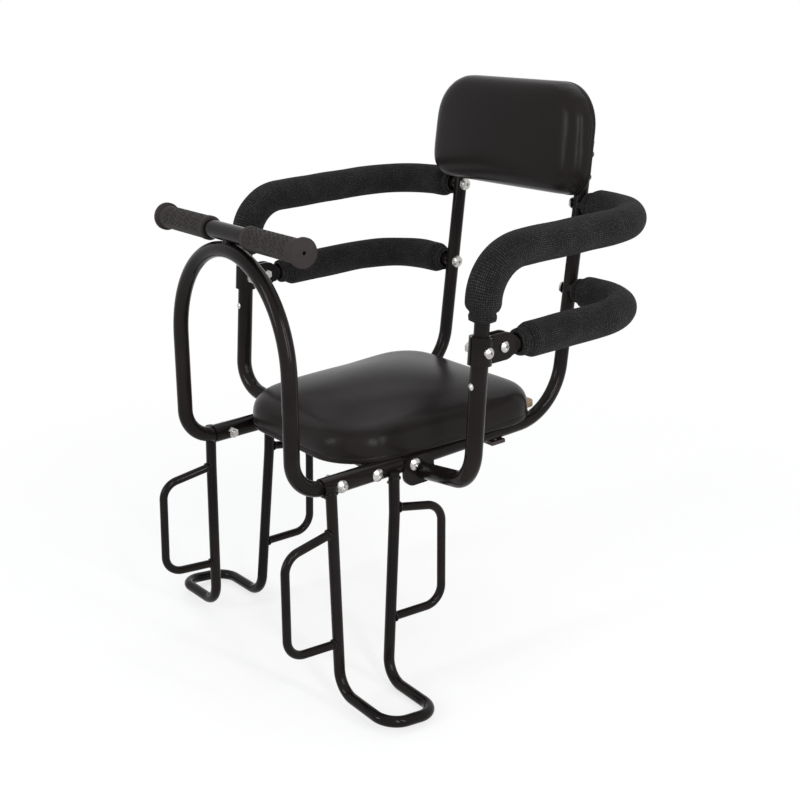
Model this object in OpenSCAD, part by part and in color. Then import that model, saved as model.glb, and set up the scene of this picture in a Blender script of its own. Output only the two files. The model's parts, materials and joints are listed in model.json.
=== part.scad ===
// Rear child seat for a bicycle, in millimetres.
// X is across the seat, the child looks along -Y, Z is up. "Left" is the child's left, at +X.
// The origin is the middle of the front strap's lower face, which rests on the bicycle's rack.

/* [Tubes] */
// Outer diameter of the front hoop tube
hoop_d = 16; // [14:0.5:19]
// Outer diameter of the rail and upright tube
rail_d = 15; // [13:0.5:17]
// Outer diameter of the arm post tube
post_d = 17.2; // [16.6:0.2:20]
// Outer diameter of the armrest and side bar tube
arm_d = 15; // [12:0.5:15]
// Outer diameter of the leg loop tube
leg_d = 11.5; // [9:0.5:14]
// Diameter of the guard rods
guard_d = 9; // [6:0.5:10]
// Outer diameter of the handlebar tube
handle_d = 18; // [15:0.5:20]
// Wall of the tubes
tube_wall = 1.5; // [1:0.1:2]
// Wall of the rail sleeves
sleeve_wall = 1.6; // [1.2:0.1:2.5]
// Height of the weld beads
bead = 1.4; // [0.8:0.1:2.5]

/* [Frame] */
// Half distance between the rails
rail_x = 107; // [95:1:118]
// Half distance between the uprights
upright_x = 101; // [90:1:112]
// Distance behind the front strap where the rails begin to run in to the uprights
rail_turn = 27; // [10:1:60]
// Lean of the leg loops
leg_lean = 3.8; // [0:0.2:7]
// Lean of the hoop
hoop_lean = 3; // [0:0.1:6]
// Distance from the front strap to the front sleeve bolt
front_bolt = 92; // [84:1:110]
// Distance between the two sleeve bolts
sleeve_pitch = 43; // [36:1:50]
// Length of a rail sleeve
sleeve_l = 94; // [84:1:110]
// Distance of the sleeve's front end before the front bolt
sleeve_front = 18; // [12:1:24]
// Distance from the front bolt to the hoop
hoop_reach = 50.5; // [44:0.5:62]
// Height of the hoop's centreline above the rails
hoop_h = 225; // [190:1:260]
// Bend radius of the hoop's feet
hoop_bend = 33; // [26:1:42]
// Distance from the front strap to the corner of rail and upright
upright_foot = 205; // [190:1:215]
// Lean of the uprights
upright_lean = 10; // [4:0.1:16]
// Bend radius between rail and upright
upright_bend = 66; // [50:1:80]
// Length of the upright above the side bar bolt
upright_top = 157; // [150:1:215]

/* [Handlebar] */
// Length over both grips
handle_l = 268; // [230:2:300]
// Length of one grip
grip_l = 97; // [80:1:112]
// Outer diameter of a grip
grip_d = 23.6; // [21.5:0.2:27]
// Diameter of the flange at a grip's outer end
grip_flange_d = 28.6; // [27:0.2:34]
// Thickness of the flange
grip_flange_t = 5; // [3:0.5:8]
// Thickness of a grip's closed end
grip_end_t = 2.5; // [1.5:0.5:4]
// Diameter of the vent hole in a grip's end
grip_vent = 4; // [2:0.5:6]
// Width of the ring at a grip's inner end
grip_ring = 9; // [4:0.5:14]
// Distance of the handlebar behind the hoop's crown
handle_set = 4.5; // [0:0.5:7]

/* [Leg guards] */
// Depth of the foot loop's front corner below the rails
leg_h = 213.5; // [180:0.5:240]
// How much lower the foot loop's rear run lies
foot_fall = 4; // [0:0.5:8]
// How much lower the foot loop's outer end lies
foot_dip = 2; // [0:0.5:8]
// Distance of the front leg behind the front bolt, negative is before it
leg_front = -14.5; // [-18:0.5:-10]
// Distance between the legs at the sleeve
leg_pitch = 76; // [60:1:80]
// Distance between the legs at the foot
foot_pitch = 60; // [50:1:72]
// Distance of the foot behind the front leg's top
foot_set = 4; // [0:0.5:10]
// Depth of the legs' shoulder bend below the rails
leg_shoulder = 39.5; // [30:0.5:60]
// How far the legs stand out at the shoulder bend
leg_splay = 14; // [8:1:20]
// How far the legs stand out at the foot
foot_splay = 20; // [14:1:30]
// Width of the foot loop beyond the legs
foot_w = 83; // [60:1:110]
// Bend radius of the foot loop
foot_bend = 24; // [16:1:28]
// Reach of the front guard before the front leg
front_guard_reach = 58.5; // [45:0.5:75]
// Reach of the rear guard behind the rear leg
rear_guard_reach = 57; // [45:1:75]
// Depth of the front guard's upper weld below the rails
front_guard_top = 43.5; // [34:0.5:60]
// Depth of the rear guard's upper weld below the rails
rear_guard_top = 34.4; // [30:0.2:60]
// Depth of the front guard's lower weld below the rails
front_guard_bottom = 162; // [130:0.5:175]
// Depth of the rear guard's lower weld below the rails
rear_guard_bottom = 149.7; // [130:0.1:175]
// Fall of the front guard's upper run towards its outer corner
front_guard_fall = 13; // [0:1:20]
// Fall of the rear guard's upper run towards its outer corner
rear_guard_fall = 8; // [0:1:20]
// Bend radius of the guard rods
guard_bend = 20; // [12:1:26]

/* [Arms] */
// Half distance between the arm posts
post_x = 214; // [190:1:230]
// Distance of the arm posts behind the front bolt
post_back = 83.5; // [80:0.5:100]
// Lean of the arm posts
post_lean = 6.8; // [0:0.1:9]
// Height of the corner at the foot of the post above the rails
post_corner = 9; // [0:0.2:14]
// Bend radius at the foot of the post
post_bend = 36; // [26:1:44]
// Height of the armrest above the rails
arm_h = 226.5; // [210:1:250]
// Bend radius at the front of the armrest
arm_bend = 48; // [40:1:58]
// Bend radius at the armrest's rear corner
arm_rear_bend = 70; // [36:1:80]
// Bend radius at the side bar's rear corner
bar_bend = 66; // [36:1:80]
// Height of the side bar above the rails
bar_h = 136; // [115:0.5:150]
// Depth to which the armrest tube enters the post, below the clamp
arm_insert = 34; // [24:1:50]
// Outer diameter of the foam sleeves
foam_d = 36; // [28:0.5:42]
// Gap between the clamp and the armrest sleeve's cuff
foam_gap = 13.5; // [6:0.5:24]
// Outer diameter of the foam sleeves' gathered cuffs
cuff_d = 27; // [22:0.5:32]
// Length of a cuff
cuff_l = 8; // [4:0.5:14]
// Length over which a sleeve narrows to its cuff
gather_l = 6; // [3:0.5:24]
// Bare length of tube between foam and upright
foam_stop = 5; // [4:1:16]

/* [Clamp] */
// Thickness of the clamp plates
clamp_t = 3; // [2:0.5:4]
// Height of the clamp plates
clamp_h = 27; // [20:1:32]
// Height of the clamp's middle above the side bar
clamp_rise = 1.5; // [0:0.5:6]
// Distance between the two clamp bolts
clamp_pitch = 24; // [20:1:30]
// Length of the ears beyond the rear clamp bolt
clamp_ear = 14; // [10:1:18]
// Thickness of the flattened end of the side bar
tongue_t = 6; // [4:0.5:8]

/* [Seat] */
// Half width of the seat cushion at the front
seat_front_w = 106; // [95:1:118]
// Half width of the seat cushion at the rear
seat_rear_w = 124; // [112:1:135]
// Depth of the seat cushion
seat_l = 258; // [240:2:290]
// Reach of the seat cushion before the front strap
seat_front = 81; // [60:1:95]
// Thickness of the seat cushion above its board
seat_t = 33.5; // [30:0.5:55]
// Front corner radius of the seat cushion
seat_r_front = 58; // [36:1:70]
// Rear corner radius of the seat cushion
seat_r_rear = 58; // [36:1:64]
// Thickness of the plywood boards
board_t = 8; // [5:0.5:12]
// Inset of the boards from the cushions' outline
board_inset = 14; // [10:1:22]

/* [Backrest] */
// Half width of the backrest cushion
back_w = 123.5; // [114:0.5:145]
// Height of the backrest cushion
back_h = 120.5; // [110:0.5:160]
// Distance of the backrest's lower edge above the side bar bolt, along the upright
back_rise = 98.5; // [96:0.5:120]
// Thickness of the backrest cushion
back_t = 30; // [24:1:44]
// Upper corner radius of the backrest
back_r_top = 49; // [30:1:54]
// Lower corner radius of the backrest
back_r_low = 28; // [16:1:40]

/* [Rack clamp] */
// Distance between the two straps
strap_pitch = 114; // [96:1:130]
// Width of the straps
strap_w = 18; // [14:1:26]
// Thickness of the straps and the clamp plates under them
strap_t = 4; // [3:0.5:5]
// Height of the slot that takes the rack's tubes
rack_slot = 13; // [10:0.5:16]
// Half distance between the rack clamp bolts
rack_bolt_x = 42; // [35:1:60]
// Length of a lower clamp plate
plate_l = 104; // [98:1:140]

/* [Fasteners] */
// Diameter of the frame bolts
bolt_d = 6; // [5:0.5:8]
// Diameter of the bolt heads
head_d = 13; // [11:0.5:15]
// Diameter of the clamp bolts' heads
clamp_head_d = 10.6; // [9:0.2:13]
// Height of the domed bolt heads
head_h = 4.2; // [3:0.2:6]
// Clearance of a bolt in its hole, on the diameter
bolt_gap = 0.4; // [0.2:0.1:0.8]
// Radial clearance between telescoped tubes
slide_gap = 0.2; // [0.1:0.05:0.5]
// Clearance round the soft pieces
soft_gap = 0.4; // [0.3:0.1:0.8]

/* [Hidden] */
$fn = 48;
eps = 0.01;
band_l = 0.8;
band_rise = 0.03;

rail_z = strap_t + rail_d / 2;
rail_r = rail_d / 2;
bolt_y = -front_bolt;
hole_d = bolt_d + bolt_gap;
nut_d = bolt_d * 1.9;
nut_h = bolt_d * 0.85;
washer_d = head_d + 1;
washer_t = 1.2;

sleeve_id = hoop_d + 2 * slide_gap;
sleeve_d = sleeve_id + 2 * sleeve_wall;
sleeve_y = bolt_y - sleeve_front;
tube_meet = bolt_y + sleeve_pitch / 2;

arm_z = rail_z + arm_h;
bar_z = rail_z + bar_h;
post_y = bolt_y + post_back;
clamp_mid = bar_h + clamp_rise;
clamp_z = rail_z + clamp_mid;

board_z = strap_t + rail_d + 0.02;
seat_z = board_z + soft_gap;
seat_y = -seat_front;

back_plane = rail_r + 0.02;

// Place on the leaning post's axis at a height above the rails
function post_axis(h) = [post_x, post_y + h * tan(post_lean), rail_z + h];
// Distance back of the upright's axis at a height
function upright_y(z) = upright_foot + (z - rail_z) * tan(upright_lean);
// Half distance between the rails at a distance behind the front strap
function rail_at(y) = rail_x - (rail_x - upright_x) * max(0, y - rail_turn) / (upright_foot - rail_turn);
function unit(v) = v / norm(v);
function turn_at(a, b, c) = acos(max(-1, min(1, unit(b - a) * unit(c - b))));
function trim(p, r, i) = i == 0 || i == len(p) - 1 ? 0 : r[i] * tan(turn_at(p[i - 1], p[i], p[i + 1]) / 2);

// Mirrors its children to the child's right side
module side(s) {
    if (s > 0) children();
    else mirror([1, 0, 0]) children();
}

// Leans its children back about the front sleeve bolts, with that bolt line as their origin
module leaned() {
    translate([0, bolt_y, rail_z]) rotate([-leg_lean, 0, 0]) children();
}

// Puts its children on the upright's axis: X across, Y normal to it, Z up along it from the side bar
module on_upright() {
    translate([0, upright_y(bar_z), bar_z]) rotate([-upright_lean, 0, 0]) children();
}

// A tube's section, or a rod's where the wall is 0
module section(d, wall) {
    difference() {
        circle(d = d);
        if (wall > 0) circle(d = d - 2 * wall);
    }
}

// Puts its children at a point with their X and Z axes along two directions
module frame_at(o, x, z) {
    y = cross(z, x);
    multmatrix([
        [x[0], y[0], z[0], o[0]],
        [x[1], y[1], z[1], o[1]],
        [x[2], y[2], z[2], o[2]]
    ]) children();
}

module straight(a, b, d, wall) {
    z = unit(b - a);
    x = unit(cross(abs(z[0]) > 0.7 ? [0, 0, 1] : [1, 0, 0], z));
    frame_at(a, x, z) linear_extrude(norm(b - a)) section(d, wall);
}

module bend(a, b, c, r, d, wall) {
    u = unit(a - b);
    n = unit(cross(-u, unit(c - b)));
    s = b + u * r * tan(turn_at(a, b, c) / 2);
    x = cross(n, u);
    frame_at(s - x * r, x, n) rotate_extrude(angle = turn_at(a, b, c), $fn = 72)
        translate([r, 0]) section(d, wall);
}

// A band a hair wider than the tube over a tangent line, where straight and bend become one solid
module band(at, z, d, wall) {
    straight(at - z * band_l / 2, at + z * band_l / 2, d + band_rise, wall > 0 ? wall + band_rise : 0);
}

// A bent tube through the corners p, each rounded by its own bend radius in r
module tube(p, r, d, wall) {
    n = len(p);
    for (i = [0 : n - 2]) {
        u = unit(p[i + 1] - p[i]);
        a = p[i] + u * trim(p, r, i);
        b = p[i + 1] - u * trim(p, r, i + 1);
        if (norm(b - a) > 1) {
            straight(a, b, d, wall);
            if (i > 0) band(a, u, d, wall);
            if (i < n - 2) band(b, u, d, wall);
        }
        else band((a + b) / 2, u, d, wall);
    }
    for (i = [1 : 1 : n - 2]) bend(p[i - 1], p[i], p[i + 1], r[i], d, wall);
}

// A round bead along the foot of a tube that is welded on, with the tube along +Z
module weld_ring(d) {
    rotate_extrude() translate([d / 2, 0]) circle(d = 2 * bead, $fn = 16);
}

// A cylinder along X from x1 to x2
module bar_x(x1, x2, y, z, d) {
    translate([x1, y, z]) rotate([0, 90, 0]) cylinder(d = d, h = x2 - x1);
}

// A domed bolt head with a socket, its flat face at the origin and its dome along +Z
module domed_head(d) {
    difference() {
        rotate_extrude() intersection() {
            translate([0, head_h - d * 0.72]) circle(d = d * 1.44);
            square([d / 2, head_h]);
        }
        translate([0, 0, head_h - 2]) cylinder(d = bolt_d * 0.66, h = 3, $fn = 6);
    }
}

// A domed bolt along -Z from its head's flat face
module domed_bolt(l, head = head_d) {
    domed_head(head);
    translate([0, 0, -l]) cylinder(d = bolt_d, h = l + eps);
}

module hex_nut(h) {
    difference() {
        cylinder(d = nut_d, h = h, $fn = 6);
        translate([0, 0, -1]) cylinder(d = bolt_d + 0.1, h = h + 2);
    }
}

// The front hoop: two feet in the sleeves and a half round crown
crown_y = bolt_y - hoop_reach + hoop_h * sin(hoop_lean);
crown_z = rail_z + hoop_h * cos(hoop_lean);
hoop_p = [
    [rail_x, tube_meet - 1, rail_z],
    [rail_x, bolt_y - hoop_reach, rail_z],
    [rail_x, crown_y, crown_z],
    [-rail_x, crown_y, crown_z],
    [-rail_x, bolt_y - hoop_reach, rail_z],
    [-rail_x, tube_meet - 1, rail_z]
];
hoop_r = [0, hoop_bend, rail_x, rail_x, hoop_bend, 0];
handle_sink = 0.4;
handle_gap = (hoop_d + handle_d) / 2 - handle_sink;
handle_y = crown_y + handle_set;
handle_z = crown_z + sqrt(handle_gap * handle_gap - handle_set * handle_set);

module front_hoop() {
    color("black") difference() {
        tube(hoop_p, hoop_r, hoop_d, tube_wall);
        for (s = [-1, 1]) bar_x(s * rail_x - hoop_d, s * rail_x + hoop_d, bolt_y, rail_z, hole_d);
    }
}

module handlebar_tube() {
    l = handle_l / 2 - grip_end_t - 0.5;
    color("black") difference() {
        union() {
            bar_x(-l, l, handle_y, handle_z, handle_d);
            straight([0, crown_y, crown_z], [0, handle_y, handle_z], hoop_d * 0.75, 0);
        }
        bar_x(-l - 1, l + 1, handle_y, handle_z, handle_d - 2 * tube_wall);
        translate([0, crown_y - rail_x * sin(hoop_lean), crown_z - rail_x * cos(hoop_lean)])
            rotate([90 - hoop_lean, 0, 0]) rotate_extrude($fn = 72) translate([rail_x, 0]) circle(d = hoop_d);
    }
}

module grip(s) {
    x1 = handle_l / 2 - grip_l;
    x2 = handle_l / 2;
    color("dimgray") side(s) difference() {
        union() {
            bar_x(x1, x2, handle_y, handle_z, grip_d);
            bar_x(x2 - grip_flange_t, x2, handle_y, handle_z, grip_flange_d);
            bar_x(x1, x1 + grip_ring, handle_y, handle_z, grip_d + 1);
        }
        bar_x(x1 - 1, x2 - grip_end_t, handle_y, handle_z, handle_d + 0.1);
        bar_x(x1, x2 + 1, handle_y, handle_z, grip_vent);
    }
}

// Sleeve that joins the hoop's foot to the seat rail and carries the leg guard
module leg_sleeve(s) {
    color("black") side(s) difference() {
        translate([rail_x, sleeve_y, rail_z]) rotate([-90, 0, 0]) cylinder(d = sleeve_d, h = sleeve_l);
        translate([rail_x, sleeve_y - 1, rail_z]) rotate([-90, 0, 0]) cylinder(d = sleeve_id, h = sleeve_l + 2);
        for (y = [bolt_y, bolt_y + sleeve_pitch]) bar_x(rail_x - sleeve_d, rail_x + sleeve_d, y, rail_z, hole_d);
    }
}

// The leg loop's corners, from the front bolt in the leaning frame
leg_top_x = rail_x + 12;
leg_top_z = 3;
foot_front = leg_front + foot_set;
foot_x = rail_x + foot_splay;
leg_p = [
    [leg_top_x, leg_front, leg_top_z],
    [rail_x + leg_splay, leg_front + 0.5, -leg_shoulder],
    [foot_x, foot_front, -leg_h],
    [foot_x + foot_w, foot_front, -leg_h - foot_dip],
    [foot_x + foot_w, foot_front + foot_pitch, -leg_h - foot_fall - foot_dip],
    [foot_x, foot_front + foot_pitch, -leg_h - foot_fall],
    [rail_x + leg_splay, leg_front + leg_pitch - 0.5, -leg_shoulder],
    [leg_top_x, leg_front + leg_pitch, leg_top_z]
];
shoulder_bend = 60;
leg_r = [0, shoulder_bend, foot_bend, foot_bend - 2, foot_bend - 2, foot_bend, shoulder_bend, 0];

// Share of the way from the legs' shoulder to the foot at a height below the rails
function leg_share(h) = (h - leg_shoulder) / (leg_h - leg_shoulder);
function leg_point(i, j, h) = leg_p[i] + (leg_p[j] - leg_p[i]) * leg_share(h);

cap_t = 0.8;
cap_edge = 0.2;
module leg_loop(s) {
    color("black") side(s) difference() {
        leaned() {
            tube(leg_p, leg_r, leg_d, tube_wall);
            for (i = [0, 7]) {
                top = leg_p[i];
                next = leg_p[i == 0 ? 1 : 6];
                straight(top - unit(next - top) * cap_t, top + unit(next - top) * cap_t, leg_d + 2 * cap_edge, 0);
            }
        }
        translate([rail_x, sleeve_y - 9, rail_z]) rotate([-90, 0, 0]) cylinder(d = sleeve_d, h = sleeve_l + 18);
    }
}

// A guard rod: out from the leg along Y, down and back to it
module guard_rod(i, j, top, bottom, out, fall) {
    a = leg_point(i, j, top);
    d = leg_point(i, j, bottom);
    b = [a[0] + 4, a[1] + out, a[2] - fall];
    c = [d[0] + 2, a[1] + out, d[2] + rod_rise];
    tube([a, b, c, d], [0, guard_bend, guard_bend, 0], guard_d, 0);
    for (e = [[a, b], [d, c]]) {
        v = unit(e[1] - e[0]);
        frame_at(e[0] + v * leg_d / 2, unit(cross([1, 0, 0], v)), v) weld_ring(guard_d);
    }
}

rod_rise = 1.5;
module front_guard(s) {
    color("black") side(s) difference() {
        leaned() guard_rod(1, 2, front_guard_top, front_guard_bottom, -front_guard_reach, front_guard_fall);
        leaned() tube(leg_p, leg_r, leg_d, 0);
    }
}

module rear_guard(s) {
    color("black") side(s) difference() {
        leaned() guard_rod(6, 5, rear_guard_top, rear_guard_bottom, rear_guard_reach, rear_guard_fall);
        leaned() tube(leg_p, leg_r, leg_d, 0);
    }
}

// Seat rail and backrest upright in one tube
rail_p = [
    [rail_x, tube_meet + 1, rail_z],
    [rail_x, rail_turn, rail_z],
    [upright_x, upright_foot, rail_z],
    [upright_x, upright_y(bar_z + upright_top * cos(upright_lean)), bar_z + upright_top * cos(upright_lean)]
];
rail_sweep = 200;
rail_bends = [0, rail_sweep, upright_bend, 0];
bracket_w = 38;
bracket_h = 31;
bracket_corner = 12;
bracket_back = 88;
bracket_drop = 7.5;
weld_back = 12;
weld_drop = 11;
bracket_bolt_y = bolt_y + bracket_back;

module seat_rail(s) {
    color("black") side(s) difference() {
        tube(rail_p, rail_bends, rail_d, tube_wall);
        for (y = [bolt_y + sleeve_pitch, bracket_bolt_y])
            bar_x(rail_x - rail_d, rail_x + rail_d, y, rail_z, hole_d);
        for (z = [bar_z, arm_z]) bar_x(upright_x - rail_d, upright_x + rail_d, upright_y(z), z, hole_d);
        for (y = [0, strap_pitch])
            translate([rail_at(y), y, 0]) cylinder(d = hole_d, h = rail_z);
        on_upright() for (z = screw_heights)
            translate([upright_x, 0, z]) rotate([90, 0, 0]) cylinder(d = screw_d + bolt_gap, h = 2 * rail_d, center = true);
    }
}

module upright_caps() {
    color("black") for (s = [-1, 1]) side(s) on_upright() translate([upright_x, 0, upright_top]) {
        cylinder(d1 = rail_d + 1, d2 = rail_d - 2, h = 3);
        translate([0, 0, -9]) cylinder(d = rail_d - 2 * tube_wall - 0.2, h = 9 + eps);
    }
}

// Arm post: in from the post's foot to the bracket on the rail, flaring up outwards
bracket_x = rail_x + rail_r;
bracket_t = 4;
post_foot = post_axis(post_corner);
post_weld = [bracket_x, bracket_bolt_y + weld_back, rail_z - weld_drop];
post_top_h = clamp_mid + clamp_h / 2 + 1;
post_wall = (post_d - arm_d) / 2 - slide_gap / 2;

module arm_post(s) {
    color("black") side(s) difference() {
        tube([post_weld, post_foot, post_axis(post_top_h)], [0, post_bend, 0], post_d, post_wall);
        translate([bracket_x + bracket_t - 3 * post_d, post_weld[1], post_weld[2]]) cube(6 * post_d, center = true);
        clamp_bolt_holes(hole_d);
        post_rivet_hole(rivet_d + 0.2);
    }
}

bracket_y = bracket_bolt_y + weld_back / 2;
module post_bracket(s) {
    w = bracket_w;
    h = bracket_h;
    r = bracket_corner;
    color("black") side(s) difference() {
        translate([bracket_x, bracket_y, rail_z - bracket_drop]) rotate([90, 0, 90]) linear_extrude(bracket_t) {
            square([w - 2 * r, h], center = true);
            square([w, h - 2 * r], center = true);
            for (x = [-1, 1], y = [-1, 1]) translate([x * (w / 2 - r), y * (h / 2 - r)]) circle(r);
        }
        bar_x(bracket_x - 1, bracket_x + bracket_t + 1, bracket_bolt_y, rail_z, hole_d);
    }
}

// Armrest: up out of the post, back along the side and in to the upright
arm_in_x = upright_x + rail_r * 0.4;
arm_low_h = clamp_mid - clamp_h / 2 - arm_insert;
arm_corner = post_axis(arm_h);
arm_p = [
    post_axis(arm_low_h),
    arm_corner,
    [post_x, upright_y(arm_z), arm_z],
    [arm_in_x, upright_y(arm_z), arm_z]
];
arm_r = [0, arm_bend, arm_rear_bend, 0];
clamp_y = post_axis(clamp_mid)[1];
bar_front_y = clamp_y + post_d / 2 + 1;
bar_p = [
    [post_x, bar_front_y + clamp_pitch, bar_z],
    [post_x, upright_y(bar_z), bar_z],
    [arm_in_x, upright_y(bar_z), bar_z]
];
bar_r = [0, bar_bend, 0];

module armrest_tube(s) {
    color("black") side(s) difference() {
        tube(arm_p, arm_r, arm_d, tube_wall);
        tube(rail_p, rail_bends, rail_d + 0.02, 0);
        clamp_bolt_holes(hole_d);
        post_rivet_hole(rivet_d + 0.2);
    }
}

// Side bar: its front end is pressed flat between the clamp plates
tongue_end = clamp_y + clamp_pitch + clamp_ear + 0.5;
tongue_flare = 4;
tongue_h = arm_d * 1.36;
module side_bar(s) {
    front = bar_front_y + 2;
    tube_y = tongue_end + tongue_flare;
    color("black") side(s) difference() {
        union() {
            tube([[post_x, tube_y, bar_z], bar_p[1], bar_p[2]], bar_r, arm_d, tube_wall);
            hull() {
                translate([post_x, tube_y + 1, bar_z]) rotate([90, 0, 0]) cylinder(d = arm_d, h = 1, $fn = 32);
                translate([post_x - tongue_t / 2, tongue_end - 1, bar_z - tongue_h / 2])
                    cube([tongue_t, 1, tongue_h]);
            }
            translate([post_x - tongue_t / 2, front, bar_z - tongue_h / 2])
                cube([tongue_t, tongue_end - front, tongue_h]);
        }
        tube(rail_p, rail_bends, rail_d + 0.02, 0);
        clamp_bolt_holes(hole_d);
    }
}

foam_wall = (foam_d - arm_d) / 2 - soft_gap;
foam_bore = arm_d / 2 + soft_gap;

// The gathered end of a foam sleeve: it narrows from a at the sleeve's run to a cuff that ends at b
module foam_end(a, b) {
    l = norm(b - a);
    g = l - cuff_l;
    r = foam_d / 2 - band_rise;
    c = cuff_d / 2;
    z = unit(b - a);
    frame_at(a, unit(cross(abs(z[0]) > 0.7 ? [0, 0, 1] : [1, 0, 0], z)), z) rotate_extrude() polygon([
        [foam_bore, -1], [r, -1], [r, 0], [r - (r - c) * 0.3, g * 0.45], [r - (r - c) * 0.75, g * 0.8],
        [c - 1, g], [c, g + 1.5], [c, l - 2], [c - 2, l], [foam_bore, l]
    ]);
}

// A foam sleeve over the corners p, gathered to a cuff over g1 and g2 at its ends
module foam_sleeve(p, r, g1, g2) {
    n = len(p) - 1;
    a = p[0] + unit(p[1] - p[0]) * (g1 + cuff_l);
    b = p[n] + unit(p[n - 1] - p[n]) * (g2 + cuff_l);
    tube([for (i = [0 : n]) i == 0 ? a : i == n ? b : p[i]], r, foam_d, foam_wall);
    foam_end(a, p[0]);
    foam_end(b, p[n]);
}

foam_in_x = upright_x + rail_r + foam_stop;
module armrest_foam(s) {
    color("black") side(s)
        foam_sleeve([post_axis(clamp_mid + clamp_h / 2 + foam_gap), arm_corner, arm_p[2], [foam_in_x, upright_y(arm_z), arm_z]],
            arm_r, gather_l, gather_l);
}

module side_bar_foam(s) {
    front = [post_x, tongue_end + tongue_flare + 1.5, bar_z];
    color("black") side(s)
        foam_sleeve([front, bar_p[1], [foam_in_x, upright_y(bar_z), bar_z]], bar_r, 2 * gather_l, gather_l);
}

// Holes of the two clamp bolts across the post and the side bar's tongue
module clamp_bolt_holes(d) {
    for (y = [clamp_y, clamp_y + clamp_pitch]) bar_x(post_x - 30, post_x + 30, y, clamp_z, d);
}

// The two clamp plates: a half round band on the post and a flat ear beside the tongue
module clamp_plates(s) {
    band_d = post_d + 2 * clamp_t + 0.1;
    ear = clamp_pitch + clamp_ear;
    color("black") side(s) difference() {
        translate([post_x, clamp_y, clamp_z]) difference() {
            union() {
                rotate([-post_lean, 0, 0]) cylinder(d = band_d, h = clamp_h, center = true);
                for (x = [-1, 1]) translate([x * (tongue_t + clamp_t) / 2, 0, 0]) {
                    translate([0, ear / 2 - 6, 0]) cube([clamp_t, ear - 12, clamp_h], center = true);
                    translate([0, ear - 12, 0]) rotate([0, 90, 0]) intersection() {
                        cylinder(r = clamp_h / 2, h = clamp_t, center = true);
                        cube([clamp_h, 26, clamp_t], center = true);
                    }
                }
            }
            rotate([-post_lean, 0, 0]) cylinder(d = post_d + 0.1, h = 2 * clamp_h, center = true);
            translate([-0.6, -band_d, -clamp_h]) cube([1.2, 2 * band_d + ear, 2 * clamp_h]);
            translate([-tongue_t / 2, 0, -clamp_h]) cube([tongue_t, 2 * ear, 2 * clamp_h]);
        }
        clamp_bolt_holes(hole_d);
    }
}

rivet_d = 4;
// Where the rivet goes through the front of the post into the armrest tube
module post_rivet_hole(d) {
    h = arm_low_h + arm_insert * 0.4;
    p = post_axis(h);
    translate(p) rotate([-post_lean, 0, 0]) rotate([90, 0, 0]) cylinder(d = d, h = post_d);
}

module post_rivets() {
    h = arm_low_h + arm_insert * 0.4;
    color("silver") for (s = [-1, 1]) side(s)
        translate(post_axis(h)) rotate([-post_lean, 0, 0]) rotate([90, 0, 0]) {
            cylinder(d = rivet_d, h = post_d / 2 + 0.4);
            translate([0, 0, post_d / 2]) intersection() {
                cylinder(d = 7, h = 2);
                translate([0, 0, -3]) sphere(d = 9.5);
            }
        }
}

// Threaded plugs in the ends of the armrests and side bars
plug_l = 16;
module end_plugs() {
    color("silver") for (s = [-1, 1], z = [bar_z, arm_z]) side(s) difference() {
        bar_x(upright_x + rail_r + 1, upright_x + rail_r + 1 + plug_l, upright_y(z), z, arm_d - 2 * tube_wall - 0.1);
        bar_x(upright_x, upright_x + rail_r + 2 + plug_l, upright_y(z), z, bolt_d + 0.1);
    }
}

module upright_bolts() {
    color("silver") for (s = [-1, 1], z = [bar_z, arm_z]) side(s)
        translate([upright_x - rail_r - washer_t, upright_y(z), z]) rotate([0, -90, 0]) {
            domed_bolt(rail_d + washer_t + plug_l - 2);
            translate([0, 0, -washer_t]) difference() {
                cylinder(d = washer_d, h = washer_t + eps);
                translate([0, 0, -1]) cylinder(d = bolt_d - 1, h = 4);
            }
        }
}

module sleeve_bolts() {
    l = sleeve_d + nut_h + 3;
    color("silver") for (s = [-1, 1], y = [bolt_y, bolt_y + sleeve_pitch]) side(s)
        translate([rail_x + sleeve_d / 2, y, rail_z]) rotate([0, 90, 0]) domed_bolt(l);
}

module sleeve_nuts() {
    color("silver") for (s = [-1, 1], y = [bolt_y, bolt_y + sleeve_pitch]) side(s)
        translate([rail_x - sleeve_d / 2, y, rail_z]) rotate([0, -90, 0]) hex_nut(nut_h);
}

module bracket_bolts() {
    l = rail_d + bracket_t + nut_h + 2;
    color("silver") for (s = [-1, 1]) side(s)
        translate([bracket_x + bracket_t, bracket_bolt_y, rail_z]) rotate([0, 90, 0]) domed_bolt(l);
}

module bracket_nuts() {
    color("silver") for (s = [-1, 1]) side(s)
        translate([rail_x - rail_r, bracket_bolt_y, rail_z]) rotate([0, -90, 0]) hex_nut(nut_h);
}

// Distance back of each clamp bolt and half thickness of the clamp there
clamp_seats = [
    [clamp_y, post_d / 2 + clamp_t + 0.05],
    [clamp_y + clamp_pitch, tongue_t / 2 + clamp_t]
];

module clamp_bolts() {
    color("silver") for (s = [-1, 1]) side(s) for (b = clamp_seats)
        translate([post_x + b[1], b[0], clamp_z]) rotate([0, 90, 0]) domed_bolt(2 * b[1] + nut_h + 2, clamp_head_d);
}

module clamp_nuts() {
    color("silver") for (s = [-1, 1]) side(s) for (b = clamp_seats)
        translate([post_x - b[1], b[0], clamp_z]) rotate([0, -90, 0]) hex_nut(nut_h);
}

// Flat straps across under the rails, which rest on the rack
module strap(y) {
    x = rail_at(y);
    difference() {
        translate([-x - rail_r, y - strap_w / 2, 0]) cube([2 * (x + rail_r), strap_w, strap_t]);
        for (s = [-1, 1]) {
            translate([s * x, y, 0]) sunk_hole(bolt_d, sunk_d);
            translate([s * seat_screw_x, y, 0]) sunk_hole(screw_d, sunk_screw_d);
            translate([s * rack_bolt_x, y, -1]) cylinder(d = hole_d, h = strap_t + 2);
        }
    }
}

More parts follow.
